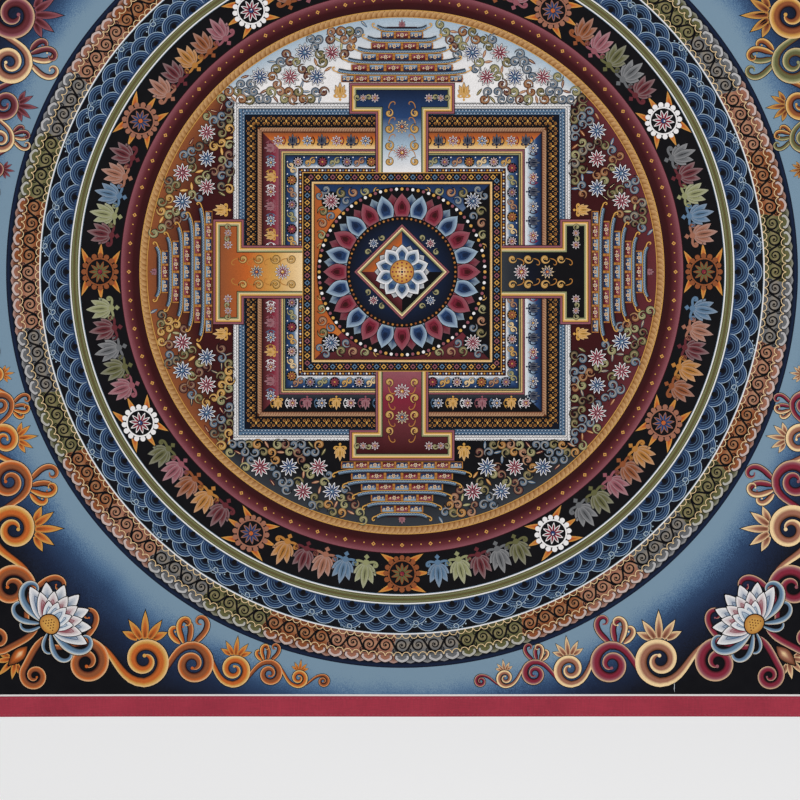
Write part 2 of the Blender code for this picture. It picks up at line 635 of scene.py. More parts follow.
def petal_ring(pen):
    """Scrollwork on four colours in turn, with a fringe of small lotus petals."""
    round_band(pen, Band(SCROLLWORK.inner, PETALS.outer, ("ink", "night")))
    round_line(pen, SCROLLWORK.inner - FINE_LINE, "white", 2)
    round_band(pen, RIM)
    half = SCROLLWORK.width / 2
    pitch = TURN * SCROLLWORK.middle / SCROLL_COUNT
    wide = np.linspace(-pitch / 2, pitch / 2, 4)
    lean = 2.2 * np.sin(np.linspace(-1.5, 1.5, 5))
    cell = [wide + share + 1j * up for share, up in zip(lean, np.linspace(-half, half, 5))]
    for i, angle in enumerate(round_stations(SCROLL_COUNT)):
        colour = RING_COLOURS[i // SCROLLS_ALIKE % len(RING_COLOURS)]
        deep = blend(colour, "ink", 0.4)
        spot = pen.on_ring(SCROLLWORK.middle, angle)
        spot.loft(cell, (deep, colour, blend(colour, "cream", 0.18), colour, deep), 2)
        ring_scroll(spot, pitch, 1 if i % 2 else -1)
        for shift in (-pitch / 4, pitch / 4):
            for edge, way in ((-half, 1), (half, -1)):
                spot.stroke(shift + 1j * edge + way * arch(pitch / 4.2, 7), 0.55, "cream", 6)
        behind = pen.on_ring(PETALS.inner, angle + TURN / SCROLL_COUNT / 2)
        outline = petal_outline(pitch, PETALS.width, 8, 0.9, 0.9)
        behind.blob(outline, (deep, deep, blend(colour, "white", 0.2)), 3, 1j)
        ring_petal(pen.on_ring(PETALS.inner, angle), colour, pitch * 0.99, PETALS.width * 0.96)


WAVE_COUNT = 84
WaveRow = namedtuple("WaveRow", "share_up stagger low breaking")  # low is the angle that its waves start at
WAVE_ROWS = (WaveRow(0.50, 0.0, -0.2, True), WaveRow(0.26, 0.5, -0.2, True), WaveRow(0.02, 0.0, 0.0, False))
WAVE_LINES = ((1.0, "mist", 0.6), (0.84, "steel", 0.5), (0.67, "steel", 0.5), (0.48, "steel", 0.4))


def wave(pen, radius, low, layer):
    """A round swell with light lines along it."""
    pen.blob(arch(radius, 15, low), ("ink", "navy", "blue"), layer, 0.25j * radius)
    for share, paint, width in WAVE_LINES:
        pen.stroke(arch(radius * share, 13, low), width, paint, layer + 0.25, (0.15, 0.15))
    pen.dot(0.12j * radius, radius * 0.2, "ink", layer + 0.25)


def foam(pen, radius, layer):
    """The curls and drops of a wave that breaks."""
    for turn, size, paint in ((0.0, 0.42, "mist"), (1.9, 0.30, "steel")):
        curl = pen.moved(radius * (0.86j + 0.25 * turn), turn)
        line = spiral(radius * size, 1.2, 16)
        curl.stroke(line, 1.5, "ink", layer + 0.5, (0.4, 0.0))
        curl.stroke(line, 0.8, paint, layer + 0.7, (0.4, 0.0))
    for place in (-0.5 + 1.0j, -0.8 + 0.8j):
        pen.dot(radius * place, radius * 0.06, "mist", layer + 0.75, 6)


def wave_ring(pen):
    """Rows of waves, each half hidden by the one inside it, with foam on every fourth wave of two rows."""
    round_band(pen, WAVES)
    round_line(pen, WAVES.inner - FINE_LINE * 1.5, "white", 2)
    radius = TURN * WAVES.middle / WAVE_COUNT / 2
    for number, row in enumerate(WAVE_ROWS):
        for i, angle in enumerate(round_stations(WAVE_COUNT)):
            turned = angle + TURN / WAVE_COUNT * row.stagger
            spot = pen.on_ring(WAVES.inner + row.share_up * WAVES.width, turned)
            wave(spot, radius, row.low, 1.25 + number)
            if row.breaking and (i + 2 * number) % 4 == 0:
                foam(spot, radius, 1.25 + number)


def olive_ring(pen):
    """A plain ring with three fine lines and a white edge."""
    round_band(pen, OLIVE)
    for share, paint in ((0.22, "sage"), (0.5, "brown"), (0.78, "sage")):
        round_line(pen, OLIVE.inner + share * OLIVE.width, paint, 2, 0.35)
    round_line(pen, OLIVE.inner - FINE_LINE, "white", 2)


MEDALLION_COUNT = 12
MEDALLION_SIZE = 15.5
MEDALLION_LOOKS = (
    ("copper", "khaki", "crimson"),
    ("white", "crimson", "blue"),
    ("terracotta", "blue", "orange"),
)
PALMETTES_BETWEEN = 5
FIRST_PALMETTE, LAST_PALMETTE = 0.237, 0.763  # shares of the way from one medallion to the next
PALMETTE_TALL = 27.0
PALMETTE_FOOT = 12.0  # how far inside the middle of the black ring a palmette stands
PALMETTE_COLOURS = (
    "maroon", "grey", "khaki", "rose", "copper",
    "ochre", "maroon", "terracotta", "steel", "sage",
)


def medallion(pen, size, rim, inside, heart):
    """A round flower in a beaded rim, with a spray of three leaves on either side."""
    for half in pen.both():
        for lift, turn, long in ((0.0, -1.57, 1.7), (0.45, -1.1, 1.5), (-0.45, -2.04, 1.5)):
            spray = half.moved(size * lift * 1j, turn)
            leaf = petal_outline(size * 0.42, size * long, 8, 1.2, 0.3)
            spray.blob(leaf, ("crimson", "orange", "gold"), 2, 0.5j * size)
            spray.stroke(leaf, 0.4, "ink", 3)
    pen.blob(size * round_points(28), "ink", 4)
    for spot in round_points(16):
        pen.dot(size * 0.92 * spot, size * 0.15, rim, 5, 14)
    rounds(pen, (size * 0.72, size * 0.81), rim, 5, 40)
    blossom(pen, size * 0.68, 10, rim, inside, heart, 5)


def black_ring(pen):
    """Round flowers on black, with lotus palmettes between them."""
    round_band(pen, BLACK)
    for i, angle in enumerate(round_stations(MEDALLION_COUNT)):
        look = MEDALLION_LOOKS[i % len(MEDALLION_LOOKS)]
        medallion(pen.on_ring(BLACK.middle, angle), MEDALLION_SIZE, *look)
        for j, share in enumerate(np.linspace(FIRST_PALMETTE, LAST_PALMETTE, PALMETTES_BETWEEN)):
            paint = PALMETTE_COLOURS[(i * 3 + j) % len(PALMETTE_COLOURS)]
            foot = pen.on_ring(BLACK.middle - PALMETTE_FOOT, angle + TURN / MEDALLION_COUNT * share)
            palmette(foot.moved(uneven(0.2), uneven(0.03)), paint, PALMETTE_TALL + uneven(0.4))


SEED_COUNT = 180
SEEDS_OUT = 9.5  # from the maroon ring's inner edge


def maroon_ring(pen):
    """A shaded ring with gold seeds, every third one a lozenge."""
    round_band(pen, MAROON)
    round_line(pen, MAROON.outer - 0.5, "oxblood", 2, 0.5)
    for i, angle in enumerate(round_stations(SEED_COUNT)):
        spot = pen.on_ring(MAROON.inner + SEEDS_OUT + uneven(0.1), angle)
        if i % 3:
            spot.dot(0, 0.65, "gold", 2, 6)
        else:
            spot.patch(1.9 * LOZENGE, "gold", 2)
            spot.dot(0, 0.7, "crimson", 3, 6)


def strand(pen, pitch, width, paint):
    """One slanting strand of a twisted cord that runs along local x, shaded across."""
    end = pitch * 0.8 + 0.5j * width
    line = line_between(-end, end, 5) + 0.18 * pitch * np.sin(np.linspace(0, TURN, 5))
    tones = (blend(paint, "brown", 0.55), blend(paint, "cream", 0.35))
    pen.stroke(line, pitch * 0.86, tones, 2, (0.25, 0.25))


ROPE_STRANDS = 300
ROPE_EDGE = 0.6


def rope_ring(pen):
    """A twisted cord between two gold lines."""
    round_band(pen, ROPE)
    for angle in round_stations(ROPE_STRANDS):
        pitch = TURN * ROPE.middle / ROPE_STRANDS
        strand(pen.on_ring(ROPE.middle, angle), pitch, ROPE.width - 1.4, "ochre")
    for inner in (ROPE.inner, ROPE.outer - ROPE_EDGE):
        round_line(pen, inner, "gold", 3, ROPE_EDGE)


# ---- the field of flowers inside the rings
COURT = 150.0  # half the side of the square court
SIDES = range(4)  # top, right, bottom, left
FIELD_TONES = (  # of the four sides, from the court out
    ("white", "white", "mist"),
    ("oxblood", "oxblood", "maroon"),
    ("ink", "ink", "slate"),
    ("oxblood", "oxblood", "copper"),
)
FIELD_LEAVES = (
    ("steel", "khaki", "terracotta", "maroon", "steel", "copper", "sage"),
    ("steel", "khaki", "grey", "copper", "steel", "ink", "sage"),
    ("steel", "khaki", "terracotta", "maroon", "steel", "ochre", "sage"),
    ("steel", "khaki", "gold", "maroon", "slate", "gold", "sage"),
)
FIELD_REACH = 240.0  # how far from the middle places for flowers and leaves are looked for
TRIANGLE_RISE = 0.866  # from one row of a lattice of triangles to the next, to the triangles' side
BLOSSOMS = (("white", "blue", "steel"), ("white", "crimson", "rose"))
BLOSSOM_PITCH = 25.0
BLOSSOM_ROOM = 9.0
LEAF_PITCH = 7.7
LEAF_ROOM = 3.2
GATE_HEIGHTS = (COURT, 174, 218)  # over the middle, where a gate stands
GATE_WIDTHS = (66, 63, 24)  # from its middle line, kept free at those heights


def in_field(place, room):
    """Whether a place, measured on the top side, is free for a flower or leaf that needs so much room."""
    gate = np.interp(place.imag, GATE_HEIGHTS, GATE_WIDTHS)
    clear_of_court = place.imag > COURT + room
    clear_of_ring = abs(place) < ROPE.inner - room
    return clear_of_ring and clear_of_court and gate + room < abs(place.real) < place.imag - room * 0.7


def lattice(pitch):
    """Places on a lattice of triangles."""
    rise = pitch * TRIANGLE_RISE
    rows = int(FIELD_REACH / rise)
    for j in range(-rows, rows + 1):
        for i in range(-rows, rows + 1):
            yield complex((i + 0.5 * (j % 2)) * pitch, j * rise)


def quarter_ways(corners):
    """Directions from the middle over the top quarter, from left to right."""
    return np.exp(1j * np.linspace(TURN * 3 / 8, TURN / 8, corners))


def quarter_square(pen, reaches, corners, tones, layer):
    """Fills the top quarter of a square about the middle, shaded outwards."""
    ways = quarter_ways(corners)
    pen.loft([reach / ways.imag * ways for reach in reaches], toned(tones, len(reaches)), layer)


def almond_leaf(pen, size, paint, layer):
    """A leaf with a light vein."""
    outline = petal_outline(size * 0.62, size * 1.7, 6, 1.0, 0.3) - 0.85j * size
    pen.patch(outline * 1.12, "ink", layer)
    pen.patch(outline, paint, layer + 1)
    pen.stroke(line_between(-0.7j * size, 0.6j * size, 3), 0.4, "cream", layer + 2, (0.0, 0.6))


def field_quarter(pen, tones, leaves):
    """One side's ground, with flowers on it and leaves between them."""
    ways = quarter_ways(73)
    inner = (COURT - 1) / ways.imag * ways
    outer = (ROPE.inner + 0.5) * ways
    rows = [inner + (outer - inner) * share for share in np.linspace(0, 1, 12)]
    pen.loft(rows, toned(tones, len(rows)), 0.5)
    flowers = [place for place in lattice(BLOSSOM_PITCH) if in_field(place, BLOSSOM_ROOM)]
    for i, place in enumerate(flowers):
        spot = pen.moved(place + uneven(0.6), uneven(0.4))
        blossom(spot, 8.8 + uneven(0.3), 10, *BLOSSOMS[i % 2], 6)
    for i, place in enumerate(lattice(LEAF_PITCH)):
        near = min(abs(place - flower) for flower in flowers)
        if near > BLOSSOM_ROOM and in_field(place, LEAF_ROOM):
            paint = leaves[i * 3 % len(leaves)]
            spot = pen.moved(place + uneven(0.5), i * 2.4 + uneven(0.2))
            layer = 2 + i * 2 % 5 * 0.2  # so that neighbours lie clear of each other
            if i % 5 == 3:
                almond_leaf(spot, 4.2, paint, layer)
            else:
                scroll_leaf(spot if i % 2 else spot.mirrored(), 4.1 + uneven(0.2), paint, layer)


def flower_field(pen):
    """Flowers and curled leaves on four colours, from the court out to the cord."""
    for side in SIDES:
        field_quarter(pen.on_side(side), FIELD_TONES[side], FIELD_LEAVES[side])


# ---- the square court
QUARTERS = (  # tones of the four sides, from the inside out
    ("cream", "gold", "orange", "copper"),
    ("white", "mist", "blue", "navy"),
    ("slate", "night", "ink", "ink"),
    ("rose", "crimson", "maroon", "oxblood"),
)
SCALES_PALE = Band(145.0, COURT, ("white", "white"))
SCALES_BLUE = Band(139.5, 145.0, ("steel", "steel"))
BROCADE = Band(128.5, 139.5, ("ink", "night"))
CORD = Band(124.0, 128.5, ("brown", "brown"))
QUARTERED = Band(109.0, 124.0, QUARTERS)
STRIPES = (
    Band(107.2, 109.0, ("rose", "rose")),
    Band(105.4, 107.2, ("gold", "cream")),
    Band(103.6, 105.4, ("sage", "sage")),
)
SKY = Band(92.0, 103.6, ("white", "steel", "blue", "navy"))
DOTS = Band(88.5, 92.0, ("oxblood", "oxblood"))
FLOOR = DOTS.inner
SCALE_PITCH = 3.0
BROCADE_PITCH = 9.0
CORD_PITCH = 2.3
QUARTERED_PITCH = 12.6
SKY_PITCH = 10.8
DOT_PITCH = 2.6


def square_band(pen, band):
    """A band round the square, mitred at its corners."""
    many = max(len(band.tones), steps_over(band.width))
    ways = np.linspace(-1, 1, steps_over(2 * band.outer))
    rows = [height * (ways + 1j) for height in np.linspace(band.inner, band.outer, many)]
    for side in SIDES:
        tones = band.tones[side] if band.tones is QUARTERS else band.tones
        pen.on_side(side).loft(rows, toned(tones, many), 1)


def square_line(pen, half, paint, layer, width):
    ways = np.linspace(-1, 1, steps_over(2 * half)) + 1j
    for side in SIDES:
        pen.on_side(side).loft([half * ways, (half + width) * ways], paint, layer)


def along_band(pen, band, pitch):
    """Pens evenly spaced along each side of a band, each with its side and how far apart they are."""
    many = round(2 * band.middle / pitch)
    apart = 2 * band.middle / many
    for side in SIDES:
        for i in range(many):
            yield side, pen.on_side(side, band.middle).moved(apart * (i + 0.5) - band.middle), apart


def scales(pen, band, paint, line):
    """Two rows of small round scales, one half hidden by the other."""
    for _, spot, apart in along_band(pen, band, SCALE_PITCH):
        for up, shift, layer in ((0.18, 0.0, 2), (-0.30, 0.5, 3)):
            scale = spot.moved(complex(apart * shift, band.width * up))
            scale.stroke(arch(apart * 0.46, 8), 0.42, line, layer)
            scale.dot(apart * 0.12j, apart * 0.13, paint, 2, 5)


def brocade(pen):
    """Gold scrolls back to back, with seeds between them."""
    tall = BROCADE.width
    for _, spot, apart in along_band(pen, BROCADE, BROCADE_PITCH):
        for half in spot.both():
            for up in (1, -1):
                curl = half.moved(complex(apart * 0.24, up * tall * 0.2), uneven(0.1))
                line = spiral(apart * 0.19, 1.2, 12, start=-1.4 * up)
                curl.stroke(line if up > 0 else np.conj(line), 0.62, "ochre", 2, (0.3, 0.0))
        spot.patch(tall * 0.16 * np.array([0.6, 1j, -0.6, -1j]), "gold", 2)
        for up, radius, paint in ((0.0, 0.5, "gold"), (0.36, 0.45, "ochre"), (-0.36, 0.45, "ochre")):
            spot.dot(complex(apart * 0.5, up * tall), radius, paint, 2, 6)


def quartered_band(pen):
    """Palmettes and flowers in turn between small scrolls, on the band with four colours."""
    on_dark = ("white", "gold", "steel", "rose")
    on_light = ("crimson", "navy", "oxblood", "navy")
    for number, (side, spot, apart) in enumerate(along_band(pen, QUARTERED, QUARTERED_PITCH)):
        paint = (on_light if side < 2 else on_dark)[number % 4]
        if number % 2:
            palmette(spot.moved(-5.2j), paint, 11.5)
        else:
            blossom(spot, 5.0, 8, "white", ("crimson", "blue")[number // 2 % 2], "gold", 2)
        for up in (1, -1):
            line = vine(complex(apart / 2 - 2.2, -4.6 * up), up * 0.9, 12.5, up * 0.8, up * 4.6, 14)
            spot.stroke(line, 0.8, paint, 2, (0.2, 0.2))


def sky_band(pen):
    """Curling leaves and small flowers in turn along the shaded blue band."""
    for number, (_, spot, apart) in enumerate(along_band(pen, SKY, SKY_PITCH)):
        look = number // 2 % 4
        if number % 2:
            for turned in (0.4, 0.4 + TURN / 2):
                leaf = spot.moved(2.5 * np.exp(1j * turned), turned)
                scroll_leaf(leaf, 2.8, ("gold", "sage", "terracotta", "cream")[look], 2)
        else:
            spot.dot(0, 4.6, "ink", 2, 20)
            blossom(spot, 4.5, 10, ("white", "rose", "mist", "gold")[look], "crimson", "gold", 3)
        for up in (3.9j, -3.9j):
            spot.dot(apart / 2 + up, 0.6, "white", 2, 6)


def court(pen):
    """The court's bands, from the outside in, and what is painted on each."""
    for band in (SCALES_PALE, SCALES_BLUE, BROCADE, CORD, QUARTERED, *STRIPES, SKY, DOTS):
        square_band(pen, band)
        square_line(pen, band.outer - 0.25, "ink", 5, 0.45)
    scales(pen, SCALES_PALE, "grey", "slate")
    scales(pen, SCALES_BLUE, "white", "navy")
    brocade(pen)
    for _, spot, _ in along_band(pen, CORD, CORD_PITCH):
        strand(spot, CORD_PITCH, CORD.width - 0.8, "terracotta")
    quartered_band(pen)
    sky_band(pen)
    for number, (_, spot, _) in enumerate(along_band(pen, DOTS, DOT_PITCH)):
        spot.dot(0, 0.85, ("gold", "white", "steel")[number % 3], 2, 6)
    square_line(pen, FLOOR - 0.7, "gold", 5, 0.7)


# ---- the four gates
DOOR = 17.0  # half the doorway's width
PORCH = 47.0  # half the width of the porch over it
PORCH_FOOT = COURT - 10.0
PORCH_TOP = COURT + 18.0
Frame = namedtuple("Frame", "inset paint")
FRAMES = (
    Frame(0.0, "ink"),
    Frame(0.6, "rose"),
    Frame(2.2, "oxblood"),
    Frame(2.7, "gold"),
    Frame(4.0, "cream"),
    Frame(4.8, "sage"),
    Frame(6.2, "ink"),
)
INSIDE = 6.8  # from the frames' outer edge to the doorway
DOOR_LEAVES = ((98.0, 3.4), (112.0, 3.8), (127.0, 3.8), (141.0, 3.4))  # how far out each is, and its size
PORCH_FLOWERS = ((24.0, 4.2), (34.5, 3.4))  # where each is along the porch, and its size
GATE_FLOWERS = (  # how far out each is, its size, and its petals and their colours
    (106.0, 7.5, 12, "white", "crimson", "gold"),
    (129.0, 6.5, 10, "cream", "blue", "orange"),
)
Tier = namedtuple("Tier", "foot half_width panels")
TIERS_FOOT = PORCH_TOP + 0.4
TIER_RISE = 9.7
WIDEST_TIER = 54.0
TIER_STEP_IN = 8.8
TIERS = [
    Tier(TIERS_FOOT + TIER_RISE * i, WIDEST_TIER - TIER_STEP_IN * i, panels)
    for i, panels in enumerate((9, 6, 5, 4, 3))
]
PANEL_HEIGHT = 6.2
PANEL_TONES = (("navy", "blue", "mist"), ("oxblood", "crimson", "rose"))
EAVE_HEIGHT = 3.2
EAVE_OVERHANG = 3.6
EAVE_LIFT = 2.6  # how far its ends turn up
TILE_PITCH = 2.4


def rectangle(pen, low, high, paint, layer):
    """An upright rectangle between two corners, in one paint or shaded from its foot to its top."""
    plain = isinstance(paint, str)
    wide = np.linspace(low.real, high.real, steps_over(high.real - low.real))
    many = max(2 if plain else 2 * len(paint) - 1, steps_over(high.imag - low.imag))
    rows = [wide + 1j * up for up in np.linspace(low.imag, high.imag, many)]
    pen.loft(rows, paint if plain else toned(paint, many), layer)


def eave(pen, foot, half_width):
    """A tiled edge with lifted ends."""
    ways = np.linspace(-1, 1, steps_over(2 * half_width) + 4)
    lift = EAVE_LIFT * np.abs(ways) ** 6
    low = half_width * ways + 1j * (foot + lift)
    high = half_width * 0.97 * ways + 1j * (foot + EAVE_HEIGHT + lift)
    pen.loft([low - 0.5j, high + 0.5j], "ink", 9)
    pen.loft([low, (low + high) / 2, high], ("navy", "steel", "slate"), 10)
    for way in np.linspace(-0.96, 0.96, round(2 * half_width / TILE_PITCH)):
        place = half_width * way + 1j * (foot + 1.0 + EAVE_LIFT * abs(way) ** 6)
        pen.stroke(place + arch(1.05, 6), 0.4, "mist", 11)
    pen.stroke(low + 0.1j, 0.6, "gold", 11)
    curl = vine(complex(half_width - 1, foot + 3), 0.2, 10.5, 0.3, 5.2, 14)
    for end in pen.both():
        end.stroke(curl, 1.0, "gold", 11, (0.1, 0.2))


def doorway(pen, tones):
    """A doorway through the court's bands under a broad porch, both in one run of stripes."""
    for number, stripe in enumerate(FRAMES):
        half = DOOR + INSIDE - stripe.inset
        reach = PORCH - stripe.inset
        foot = PORCH_FOOT + stripe.inset
        top = PORCH_TOP - stripe.inset
        for left, low, right in ((-half, FLOOR, half), (-reach, foot, -half), (half, foot, reach)):
            rectangle(pen, complex(left, low), complex(right, top), stripe.paint, 6 + number * 0.5)
    inside = toned(tones, 7)
    rectangle(pen, complex(-DOOR, FLOOR), complex(DOOR, PORCH_TOP - INSIDE), inside, 9.5)
    for half in pen.both():
        low = complex(DOOR - 0.02, PORCH_FOOT + INSIDE)
        rectangle(half, low, complex(PORCH - INSIDE, PORCH_TOP - INSIDE), inside[-2:], 9.5)
        for up, size in DOOR_LEAVES:
            scroll_leaf(half.moved(complex(DOOR - 5.6, up), 1.2), size, "gold", 10)
            stem = vine(complex(DOOR - 5.0, up + 3.6), 1.7, 13.0, 0.6, 3.6, 14)
            half.stroke(stem, 0.8, "ochre", 10, (0.2, 0.2))
        for along, size in PORCH_FLOWERS:
            blossom(half.moved(complex(along, PORCH_TOP - 13.6)), size, 8, "white", "crimson", "gold", 10)
            scroll_leaf(half.moved(complex(along + 5.4, PORCH_TOP - 13.0), along), 2.6, "sage", 10)


def panel(pen, wide, tones):
    """A framed panel of a tier: a small flower between two curls, and a bead before the next panel."""
    corner = complex(wide * 0.40, PANEL_HEIGHT / 2 - 0.7)
    rectangle(pen, -corner - 0.4 - 0.4j, corner + 0.4 + 0.4j, "brown", 7)
    rectangle(pen, -corner, corner, tones, 8)
    blossom(pen, 2.3, 7, "white", "gold", "crimson", 9)
    for turn in (0.0, TURN / 2):
        curl = pen.moved(3.6 * np.exp(1j * turn), turn)
        curl.stroke(spiral(1.2, 1.0, 10), 0.55, "cream", 9, (0.3, 0.0))
    pen.dot(wide / 2, 0.55, "crimson", 9, 6)


def gate(pen, tones):
    """A doorway with a roof of narrowing tiers."""
    doorway(pen, tones)
    for out, size, *petals in GATE_FLOWERS:
        blossom(pen.moved(1j * out), size, *petals, 10)
    palmette(pen.moved(144.0j), "gold", 17.0)
    for number, tier in enumerate(TIERS):
        half = tier.half_width
        top = tier.foot + PANEL_HEIGHT
        rectangle(pen, complex(-half, tier.foot), complex(half, top), "ochre", 6)
        wide = 2 * half / tier.panels
        for i in range(tier.panels):
            centre = complex(wide * (i + 0.5) - half, tier.foot + PANEL_HEIGHT / 2)
            panel(pen.moved(centre), wide, PANEL_TONES[(i + number) % 2])
        back = half - 5.5
        rectangle(pen, complex(-back, top), complex(back, top + EAVE_HEIGHT + 1.2), "oxblood", 5.5)
        eave(pen, top, half + EAVE_OVERHANG)
    palmette(pen.moved(1j * (TIERS[-1].foot + PANEL_HEIGHT + EAVE_HEIGHT - 1.0)), "rose", 8.5)
    for half in pen.both():
        palmette(half.moved(complex(PORCH + 8.0, COURT + 3.5)), "gold", 15.0)


def next_quarter(side):
    return QUARTERS[(side + 1) % 4]


def gates(pen):
    """The four gates, each in the tones of the side after its own."""
    for side in SIDES:
        gate(pen.on_side(side), next_quarter(side))


# ---- the floor of the court and its lotus
NESTED = Band(80.5, 87.8, ("night", "ink"))  # a second, smaller frame round the floor
NESTED_LINES = Band(78.0, 80.5, ("gold", "cream"))
NESTED_PITCH = 6.4
OUTER_LOTUS = Band(49.0, 71.0)
OUTER_LOTUS_TONES = (("oxblood", "crimson", "rose"), ("navy", "blue", "mist"))
OUTER_BEADS = Band(OUTER_LOTUS.outer + 0.6, OUTER_LOTUS.outer + 4.6, ("gold", "white", "rose"))
DISC_BEADS = Band(OUTER_LOTUS.inner - 3.0, OUTER_LOTUS.inner - 0.2, ("ochre", "copper"))
DIAMOND = 43.0  # from the middle to each of its points
CORNER_FLOWER_IN = 15.0  # from the frame round the floor
INNER_LOTUS = Band(9.0, 25.0)
SEED_HEAD = 10.5  # radius of the inner lotus' heart
SEED_ROUNDS = ((12, 8.2), (8, 5.2), (4, 2.4))  # how many, and their distance from the middle
DISC_ROUNDS = (3, 10, 17, 24, 31, 38, DISC_BEADS.inner)  # radii of the disc's tones
CornerLeaf = namedtuple("CornerLeaf", "place size turn paint")
CORNER_LEAVES = (
    CornerLeaf(11.5 - 1.5j, 4.2, 0.2, "khaki"),
    CornerLeaf(19.5 - 8.5j, 4.0, 0.9, "terracotta"),
    CornerLeaf(9.5 - 9.5j, 3.6, -0.6, "steel"),
    CornerLeaf(27.5 - 15.5j, 3.8, 1.2, "sage"),
    CornerLeaf(35.0 - 23.0j, 3.2, 0.4, "gold"),
    CornerLeaf(4.0 + 10.5j, 3.6, 2.2, "steel"),
    CornerLeaf(42.0 - 29.5j, 2.6, 1.4, "terracotta"),
)
DIAMOND_EDGES = (
    Frame(0.0, "ink"),
    Frame(0.5, "rose"),
    Frame(1.8, "oxblood"),
    Frame(2.3, "cream"),
    Frame(3.4, "sage"),
    Frame(4.6, "ink"),
)


def lotus_round(pen, many, band, petal_tones, layer):
    """Petals side by side round the middle, with their tips outwards, over a second row behind."""
    tall = band.width
    wide = TURN * (band.inner + 0.35 * tall) / many
    outline = petal_outline(wide * 0.98, tall, 10, 1.5, 0.75)
    heart = 0.22j * tall + outline * 0.42
    for behind in (True, False):
        for i, angle in enumerate(round_stations(many, TURN / 4 + (TURN / many / 2 if behind else 0))):
            petal = pen.on_ring(band.inner, angle)
            tones = petal_tones[i % len(petal_tones)]
            shown = [blend(tone, "ink", 0.35) for tone in tones] if behind else tones
            base = layer + (0 if behind else 2) + 0.3 * (i % 2)
            petal.blob(outline, "ink", base, 0.3j * tall)
            petal.blob(0.03j * tall + outline * 0.93, shown, base + 1, 0.25j * tall)
            if not behind:
                petal.blob(heart, (tones[0], tones[0], tones[1]), base + 2)
                petal.stroke(heart, 0.35, "ink", base + 2.5)


def floor_quarters(pen):
    """The floor, in four colours that meet on its diagonals, with flowers and leaves in its corners."""
    for side in SIDES:
        here = pen.on_side(side)
        quarter_square(here, np.linspace(FLOOR / 8, FLOOR - 0.5, 14), 25, next_quarter(side), 0.5)
        corner = here.moved((NESTED_LINES.inner - CORNER_FLOWER_IN) * (1 + 1j), -TURN / 8)
        corner.dot(0, 8.6, "ink", 2, 24)
        blossom(corner, 8.4, 12, *BLOSSOMS[side % 2], 5)
        for half in corner.both():
            for leaf in CORNER_LEAVES:
                scroll_leaf(half.moved(leaf.place, leaf.turn), leaf.size, leaf.paint, 2)


def nested_frame(pen):
    """A narrow frame of lozenges round the floor."""
    for band in (NESTED, NESTED_LINES):
        square_band(pen, band)
        square_line(pen, band.inner - 0.4, "ink", 3, 0.5)
    for number, (_, spot, apart) in enumerate(along_band(pen, NESTED, NESTED_PITCH)):
        spot.patch(2.5 * LOZENGE, ("rose", "gold", "steel")[number % 3], 2)
        spot.patch(1.3 * LOZENGE, "ink", 3)
        for up in (1.9j, -1.9j):
            spot.dot(apart / 2 + up, 0.6, "ochre", 2, 6)


def beads(pen, band, many, layer):
    """A dark ring with round beads on it."""
    rounds(pen, (band.outer, band.inner), "ink", layer, 120)
    for number, angle in enumerate(round_stations(many)):
        paint = band.tones[number % len(band.tones)]
        pen.dot(band.middle * np.exp(1j * angle), band.width * 0.36, paint, layer + 1)


def diamond(pen):
    """A striped square that stands on its corner, its quarters in the colours of the four sides."""
    half = DIAMOND / math.sqrt(2)
    for number, stripe in enumerate(DIAMOND_EDGES):
        corner = (half - stripe.inset) * (1 + 1j)
        rectangle(pen, -corner, corner, stripe.paint, 13 + number * 0.25)
    for side in SIDES:
        quarter_square(pen.on_side(side), np.linspace(3, half - 5.1, 8), 13, QUARTERS[side], 14.75)
        blossom(pen.on_side(side, half + 5.4), 4.6, 8, *BLOSSOMS[side % 2], 13)
        for turned in (1, -1):
            scroll_leaf(pen.on_side(side, half + 3.6).moved(9.0 * turned, 1.5 * turned), 2.6, "sage", 12)


def seed_head(pen):
    """The round heart of the inner lotus, with rings of seeds."""
    circle = SEED_HEAD * round_points(32)
    pen.blob(circle, ("cream", "gold", "ochre"), 21, 0)
    pen.stroke(np.concatenate([circle, circle[:2]]), 0.6, "brown", 21.5)
    for many, radius in SEED_ROUNDS:
        for spot in round_points(many):
            pen.dot(radius * spot, 0.85, "crimson", 21.5, 7)
    pen.dot(0, 1.1, "navy", 21.5)


def inner_court(pen):
    """The floor and, over it, a lotus round a disc, a diamond and a smaller lotus."""
    floor_quarters(pen)
    nested_frame(pen)
    beads(pen, OUTER_BEADS, 96, 6)
    rounds(pen, np.linspace(4, OUTER_LOTUS.outer + 1, 15), toned(("night", "ink"), 15), 5, 120)
    lotus_round(pen, 24, OUTER_LOTUS, OUTER_LOTUS_TONES, 6)
    beads(pen, DISC_BEADS, 72, 12)
    disc_tones = toned(("steel", "blue", "navy", "night"), len(DISC_ROUNDS))
    rounds(pen, DISC_ROUNDS, disc_tones, 11.5, 96)
    diamond(pen.moved(0, TURN / 8))
    lotus_round(pen, 10, INNER_LOTUS, (("blue", "steel", "white"),), 15.5)
    seed_head(pen)


# ---- the four corners of the ground, each drawn with the diagonal upright
CORNER = HALF * math.sqrt(2)  # from the picture's middle to its corner
EDGE = 5.0  # what the clouds leave free along the picture's edge
CloudCurl = namedtuple("CloudCurl", "across radius")  # across from the diagonal
CLOUD_CURLS = (
    CloudCurl(47.0, 18.5),
    CloudCurl(82.0, 20.0),
    CloudCurl(115.0, 17.0),
    CloudCurl(144.0, 13.5),
    CloudCurl(169.0, 10.5),
    CloudCurl(190.0, 7.5),
    CloudCurl(207.5, 5.2),
)
SMALLEST_BRANCHED = 6.0  # radius of the smallest curl that branches spring from
OUTER_CURL = CloudCurl(23.0, 11.5)
